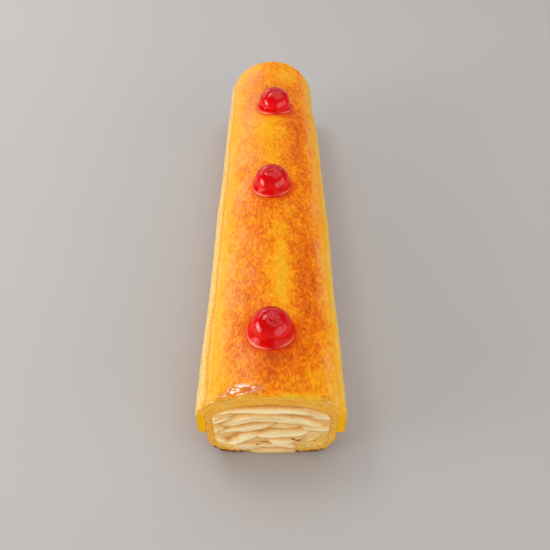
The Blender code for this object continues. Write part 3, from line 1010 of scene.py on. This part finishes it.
def creamEdges(share):
    # the four edges of the filling's section: bottom, right, top and left, as even points
    sizes = sectionSizes(share)
    inset = sponge["atSide"] - cream["overlap"]
    right = rollPoint(evenPath(cream["up"], 1, 3), share, -inset)
    left = right * (-1, 1, 1)
    arch = evenPath(cream["across"], 3, 5)
    top = rollPoint(arch, share, cream["overlap"] - spongeThickness(arch))
    flat, tongue = right[0, 0], sizes["seam"] - roll["gap"]
    x = np.linspace(flat, -flat, cream["across"])
    z = mix(roll["gap"], inset, smoothStep(tongue - 0.0004, tongue, np.abs(x)))
    bottom = np.stack((x, np.full_like(x, top[0, 1]), z), axis=-1)
    return bottom, right, top, left


def creamSection(share):
    # a patch blended between its four edges: both ruled surfaces less the one through the corners
    bottom, right, top, left = creamEdges(share)
    up = np.linspace(0, 1, cream["up"])[:, None, None]
    across = np.linspace(0, 1, cream["across"])[None, :, None]
    ruledUp = mix(bottom[None], top[None], up)
    ruledAcross = mix(right[:, None], left[:, None], across)
    corners = mix(mix(bottom[0], bottom[-1], across), mix(top[0], top[-1], across), up)
    return ruledUp + ruledAcross - corners


def onCut(x, z, seed):
    # places on the plane of a cut, with a layer of noise for each seed
    return np.stack((x, z, np.full_like(x, 0.01 * seed)), axis=-1)


def foldRelief(x, z, seed):
    # each fold is a bowed lens, rounder above than below, with fine lines along it. The folds join
    # as the root of the sum of their powers, which rounds the valleys between them
    place = onCut(x, z, seed)
    x = (x + noiseSum(place, cream["wanderX"])) / millimetre
    z = (z + noiseSum(place, cream["wanderZ"])) / millimetre
    power = cream["union"]
    total = np.full_like(x, cream["hollow"] ** power)
    for index, (middleX, middleZ, halfLength, halfThick, slope, bow, proud) in enumerate(creamFolds):
        along = (x - middleX) / halfLength
        line = middleZ + slope * (x - middleX) - bow * along ** 2 + 0.4 * np.sin(3.5 * along + index + seed)
        below = (line - z) / (halfThick * (1.15 - 0.65 * along ** 2))
        roundness = np.where(below > 0, 3.2, 2.0)
        body = np.clip(1 - np.abs(below) ** roundness, 0, 1) ** 0.75 * np.clip(1 - along ** 4, 0, 1)
        lines = (along * 0.7 + index * 7.0, below * 2.8 + along * 0.5, np.full_like(x, index))
        lines = noiseSum(np.stack(lines, axis=-1), cream["ridges"], shift=seed) * body
        total += np.maximum(cream["proudShare"] * proud * millimetre * body + lines, 0) ** power
    return total ** (1 / power)


def smearShare(x, z, seed):
    # how much crumb is mixed into the cream: bell-shaped patches with a ragged edge
    total = patchSum(x, z, creamSmears) + noiseSum(onCut(x, z, seed), cream["smearEdge"])
    return smoothStep(0.35, 0.75, total)


def blurred(values, reach):
    # the mean over a window of grid points, first along the rows and then along the columns
    for axis, half in enumerate(reach):
        values = np.mean([np.roll(values, step, axis=axis) for step in range(-half, half + 1, 2)], axis=0)
    return values


def creamFace(section, share, outward, seed):
    # the folded face of one cut: relief out of the cut, drooping folds, and cream that spills
    # over the sponge underneath; also each point's painted light and shade, from how high it lies on its
    # fold, and its crumb
    sizes = sectionSizes(share)
    z = section[..., 2]
    x = section[..., 0] * -outward * roll["halfWidth"][0] / sizes["halfWidth"]
    high = z * roll["height"][0] / sizes["height"]
    smear = smearShare(x, high, seed)
    flat = section * (1, 0, 1)
    relief = foldRelief(x, high, seed) + cream["crownBulge"] * (1 - (x / sizes["halfWidth"]) ** 2)
    relief = relief * (1 - 0.35 * smear) + smear * noiseSum(flat, cream["smearGrain"], shift=seed)
    relief = relief + noiseSum(flat, cream["grain"], shift=seed)
    relief = relief * mix(0.25, 1.0, smoothStep(0.0, 0.014, z))
    up, across = (np.minimum(np.arange(count), np.arange(count)[::-1]) for count in z.shape)
    fromRim = np.minimum(up[:, None], across[None, :]) * cream["step"]
    rim = quarterRound(fromRim / cream["rimFade"])
    relief = np.maximum(relief, 0.0003) * rim
    # painted light and shade: paler on top of a fold, darker in valleys and under overhanging folds
    overhang = np.clip((np.roll(relief, -2, axis=0) - np.roll(relief, 2, axis=0)) / 0.0013, 0, 1)
    crest = np.clip(0.55 + (relief - blurred(relief, (10, 14))) / 0.0022 - 0.45 * overhang, 0, 1)
    low = 1 - smoothStep(0.0, cream["spillBelow"], z - 0.004)
    middle = 1 - smoothStep(0.010, 0.020, np.abs(x))
    spill = cream["spill"] * low * smoothStep(0.0, 0.0006, relief) * middle
    face = section.copy()
    face[..., 1] += outward * (relief + cutWobble(section) * (1 - rim))
    lowered = z - cream["droop"] * relief * smoothStep(0.004, 0.010, z) - spill
    face[..., 2] = np.maximum(lowered, 0.0004)
    return face, crest, np.maximum(smear, 0.2 * (1 - smoothStep(0.3, 1.0, rim)))


def makeCream(material):
    # a block of points: along the roll, up and across, whose two end faces carry the folds; the
    # front face's points go back to set the flecks on
    sections = np.stack([creamSection(share) for share in np.linspace(0, 1, cream["stations"])])
    crest = np.full(sections.shape[:3], 0.5)
    smear = np.zeros(sections.shape[:3])
    sections[0], crest[0], smear[0] = creamFace(sections[0], 0.0, -1, 0)
    sections[-1], crest[-1], smear[-1] = creamFace(sections[-1], 1.0, 1, 3)
    piece = makePiece("creamFilling", material, *blockSkin(sections, {"crest": crest, "smear": smear}))
    fitIn(piece, "cream")
    return sections[0].reshape(-1, 3)


def makeWhippedCream():
    # painted shade in the valleys and painted highlight on the crests, with crumb where the knife smeared it
    material, tree = newMaterial("whippedCream")
    crumbs = sponge["colours"]
    blotch = blotches(tree, 110.0, 420.0, 0.35)
    tone = calculate(tree, "ADD", readMask(tree, "crest"), noiseRange(tree, blotch, -0.14, 0.14), clamp=True)
    pits = remap(tree, poreHeight(tree, 820.0, 0.45), 0.05, 0.45, 0.85, 0.0)
    crumb = blendColour(tree, pits, crumbs["crumbLight"], crumbs["skinDark"])
    colour = colourRamp(tree, tone, cream["colours"], deep=0.12, warm=0.40, light=0.62, crest=0.85)
    colour = blendColour(tree, times(tree, readMask(tree, "smear"), 0.85), colour, crumb)
    return feedShader(
        material, IOR=1.38, Subsurface_Weight=0.2, Subsurface_Scale=0.001,
        Subsurface_Radius=(1.0, 0.7, 0.4), Base_Color=colour,
        Roughness=noiseRange(tree, blotch, 0.36, 0.50),
        Normal=bumpFrom(tree, poreHeight(tree, 1100.0, 0.5), 0.15, 0.0003),
    )


# The flecks of burnt crust
flecks = {
    "rings": 9,
    "around": 12,
    "lumps": (0.65, 0.9, 1, 101),    # depth, size, layers and seed
    "stretch": (1.25, 0.6, 0.6),
    "sunk": 0.35,          # the share of a fleck's thickness that is pressed in
    "lowest": 0.00005,
    "colours": paints(dark=(104, 50, 20), brown=(164, 98, 42)),
}
# in millimetres on the front cut: x, z, half length, half height, half thickness, and tilt in degrees
creamFlecks = (
    (3.4, 39.6, 1.0, 0.7, 0.5, 20), (2.6, 37.6, 0.5, 0.4, 0.3, 70), (-3.6, 38.4, 0.4, 0.3, 0.3, 0),
    (15.5, 22.7, 1.2, 0.45, 0.4, 20), (12.6, 18.8, 1.1, 0.6, 0.5, -30), (14.8, 17.2, 1.5, 0.6, 0.5, 25),
    (11.4, 15.3, 0.8, 0.5, 0.4, 50), (17.2, 20.0, 0.5, 0.4, 0.3, 0), (-16.2, 14.2, 0.5, 0.4, 0.3, 0),
    (24.0, 15.0, 0.7, 0.4, 0.3, -20), (19.5, 12.5, 0.6, 0.4, 0.3, 40), (-23.0, 12.0, 0.6, 0.4, 0.3, 10),
    (-8.0, 12.6, 1.6, 0.35, 0.3, 22), (-4.4, 14.4, 1.5, 0.35, 0.3, 18), (27.5, 22.0, 0.6, 0.4, 0.3, 0),
)
footFlecks = (
    (-28.6, 2.6, 1.5, 1.1, 0.9, -34), (-25.4, 1.2, 1.7, 1.2, 0.9, -14), (-22.0, 1.0, 1.4, 1.0, 0.9, 6),
    (-18.0, 0.8, 1.0, 0.9, 0.8, -8), (-11.8, 0.9, 1.0, 1.0, 0.8, 8), (14.0, 1.0, 1.4, 1.3, 0.9, -10),
    (16.6, 0.9, 1.0, 1.0, 0.8, 16), (19.4, 1.1, 0.9, 0.9, 0.8, 0), (22.2, 1.3, 1.5, 1.3, 0.9, 10),
    (25.2, 1.8, 1.3, 1.2, 0.9, 20), (28.4, 3.2, 1.3, 1.1, 0.8, 34), (-32.2, 6.4, 1.1, 0.8, 0.7, -56),
)


def makeFlecks(creamPoints, material):
    # lumpy balls stretched to their three sizes, tilted in the plane of the cut and pressed into
    # the cream, or set on the cut's plane along the foot
    plans = np.array(creamFlecks + footFlecks)
    number = np.arange(len(plans))[:, None, None]
    way = directions(*ballAngles(flecks["rings"], flecks["around"]))
    lumps = 1 + noiseSum(way[None] + number * 5.0, flecks["lumps"])
    size = plans[:, None, (2, 4, 3)] * flecks["stretch"] * millimetre
    blobs = way[None] * lumps[..., None] * size
    tilt = np.radians(plans[:, 5])[:, None]
    x = blobs[..., 0] * np.cos(tilt) - blobs[..., 2] * np.sin(tilt)
    z = blobs[..., 0] * np.sin(tilt) + blobs[..., 2] * np.cos(tilt)
    place = plans[:, :2] * millimetre
    away = np.hypot(creamPoints[:, 0] - place[:, :1], creamPoints[:, 2] - place[:, 1:])
    front = creamPoints[np.argmin(away, axis=1), 1]
    front[len(creamFlecks):] = -rollLength / 2
    y = front[:, None] + blobs[..., 1] - (1 - 2 * flecks["sunk"]) * size[..., 1]
    points = np.stack((x + place[:, :1], y, np.maximum(z + place[:, 1:], flecks["lowest"])), axis=-1)
    ball = ballFaces(flecks["rings"], flecks["around"])
    faceSets = [(faces + number * len(way)).reshape(-1, faces.shape[1]) for faces in ball]
    piece = makePiece("crustFlecks", material, points, faceSets, {})
    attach(piece, "root")


def makeBurntCrust():
    # two browns in blotches
    material, tree = newMaterial("burntCrust")
    blotch = blotches(tree, 500.0, 1600.0, 0.5)
    colours = flecks["colours"]
    colour = blendColour(tree, remap(tree, blotch, 0.35, 0.65), colours["dark"], colours["brown"])
    return feedShader(
        material, IOR=1.40, Base_Color=colour, Roughness=noiseRange(tree, blotch, 0.5, 0.8),
        Normal=bumpFrom(tree, blotch, 0.4, 0.0004),
    )


# The pieces
makeCoat(makeToastedYolk())
makeSponge(makeSpongeCrumb())
creamFront = makeCream(makeWhippedCream())
makeFlecks(creamFront, makeBurntCrust())
glaceCherry = makeGlaceCherry()
cherrySyrup = makeCherrySyrup()
for node, plan in cherries.items():
    makeCherry(node, plan, glaceCherry)
    makeSyrup(node, plan, cherrySyrup)
print("roll made")

# The floor, the light and the camera
studio = {
    "floor": paint(178, 174, 172),
    "floorReach": 3.0,
    "lens": 39.93,
    "sensor": 36.0,
    "pitch": 48.0,
    "cameraPlace": (0.0020, -0.326, 0.332),
    "world": (1.0, 0.98, 0.96, 1.0),
    "worldStrength": 0.15,
    "lightsAimAt": (0.0, 0.0, 0.03),
}
# place, size and power of each
lights = {
    "leftWindow": ((-0.95, -0.20, 0.30), (0.46, 0.36), 3.9),
    "leftCard": ((-1.00, -0.56, 0.27), (0.50, 0.42), 4.3),
    "highCard": ((-0.55, 0.30, 1.10), (0.50, 0.34), 3.0),
    "backScreen": ((-0.75, 0.85, 0.50), (1.0, 0.6), 3.0),
    "backCard": ((0.10, 1.80, 0.62), (2.4, 0.8), 4.0),
    "topCard": ((0.35, 0.38, 1.50), (2.2, 1.8), 16.2),
    "frontCard": ((0.00, -1.60, 0.58), (3.4, 1.15), 1.5),
    "rightCard": ((1.08, -0.76, 0.32), (2.0, 1.0), 14.4),
}


def makeFloor():
    material, tree = newMaterial("studioFloor")
    roughness = noiseRange(tree, blotches(tree, 3.0, 12.0, 0.3), 0.62, 0.70)
    feedShader(material, Base_Color=studio["floor"], Roughness=roughness)
    corners = np.array(((-1, -1, 0), (1, -1, 0), (1, 1, 0), (-1, 1, 0))) * studio["floorReach"]
    floor = makePiece("studioFloor", material, corners, (np.array(((0, 1, 2, 3),)),), {})


def makeLights():
    for name, (place, size, power) in lights.items():
        light = bpy.data.lights.new(name, "AREA")
        light.shape = "RECTANGLE"
        light.size, light.size_y = size
        light.energy = power
        lamp = addObject(name, light)
        lamp.location = place
        x, y, z = np.array(studio["lightsAimAt"]) - place
        lamp.rotation_euler = (math.acos(-z / math.hypot(x, y, z)), 0.0, math.atan2(-x, y))
    world = bpy.data.worlds.new("studio")
    world.use_nodes = True
    sky = world.node_tree.nodes["Background"].inputs
    sky["Color"].default_value, sky["Strength"].default_value = studio["world"], studio["worldStrength"]
    bpy.context.scene.world = world


def makeCamera():
    camera = addObject("camera", bpy.data.cameras.new("camera"))
    camera.data.lens, camera.data.sensor_width = studio["lens"], studio["sensor"]
    camera.location = studio["cameraPlace"]
    camera.rotation_euler = (math.radians(90 - studio["pitch"]), 0.0, 0.0)
    bpy.context.scene.camera = camera


makeFloor()
makeLights()
makeCamera()
bpy.context.scene.view_settings.view_transform = "Standard"

print("stage set")
